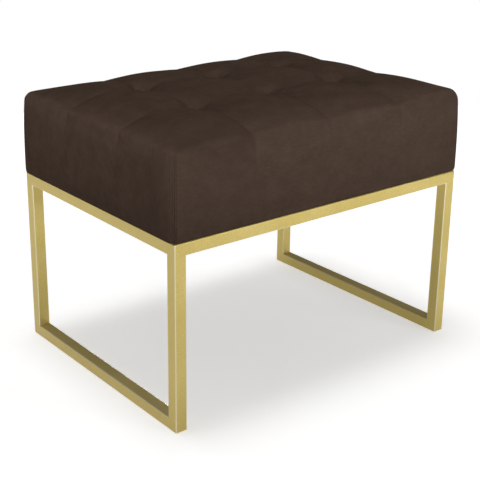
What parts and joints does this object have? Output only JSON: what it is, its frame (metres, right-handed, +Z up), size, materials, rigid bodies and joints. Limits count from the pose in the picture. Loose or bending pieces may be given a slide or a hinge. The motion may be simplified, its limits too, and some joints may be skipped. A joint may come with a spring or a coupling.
{
  "type": "pouf",
  "caption": "Low tufted pouf: a rectangular upholstered seat on an open frame of square steel tube, with a floor rail at each end.",
  "frame": {"origin": "on the floor under the middle of the seat, at the bottom centre of the bounding box", "axes": "+X along the seat's long side, +Y to the back across its short side, +Z up"},
  "size_m": [0.651, 0.481, 0.501],
  "materials": {
    "gold_paint": "satin gold paint on square steel tube",
    "zinc": "zinc plated",
    "pine": "sawn, bare",
    "plywood": "bare",
    "foam": "open-cell foam",
    "fibre": "polyester fibre wadding",
    "suede": "dark brown suede-like pile, matt with a soft sheen",
    "black_cloth": "thin black non-woven cloth",
    "twine": "waxed twine",
    "nylon": "moulded nylon"
  },
  "bodies": {
    "root": {"top_rail_front": "gold_paint", "top_rail_right": "gold_paint", "top_rail_back": "gold_paint", "top_rail_left": "gold_paint", "leg_front_left": "gold_paint", "leg_front_right": "gold_paint", "leg_back_left": "gold_paint", "leg_back_right": "gold_paint", "floor_rail_left": "gold_paint", "floor_rail_right": "gold_paint", "corner_tab_front_left": "gold_paint", "corner_tab_front_right": "gold_paint", "corner_tab_back_left": "gold_paint", "corner_tab_back_right": "gold_paint", "seat_screw_front_left": "zinc", "seat_screw_front_right": "zinc", "seat_screw_back_left": "zinc", "seat_screw_back_right": "zinc", "board_front": "pine", "board_back": "pine", "board_left": "pine", "board_right": "pine", "corner_block_front_left": "pine", "corner_block_front_right": "pine", "corner_block_back_left": "pine", "corner_block_back_right": "pine", "cross_brace_left": "pine", "cross_brace_right": "pine", "plywood_deck": "plywood", "foam_block": "foam", "side_padding_front": "foam", "side_padding_back": "foam", "side_padding_left": "foam", "side_padding_right": "foam", "fibre_wadding": "fibre", "seat_cover": "suede", "dust_cover": "black_cloth", "tuft_twine_1": "twine", "tuft_twine_2": "twine", "tuft_twine_3": "twine", "tuft_twine_4": "twine", "tuft_twine_5": "twine", "tuft_twine_6": "twine", "tuft_anchor_1": "nylon", "tuft_anchor_2": "nylon", "tuft_anchor_3": "nylon", "tuft_anchor_4": "nylon", "tuft_anchor_5": "nylon", "tuft_anchor_6": "nylon"}
  },
  "joints": []
}
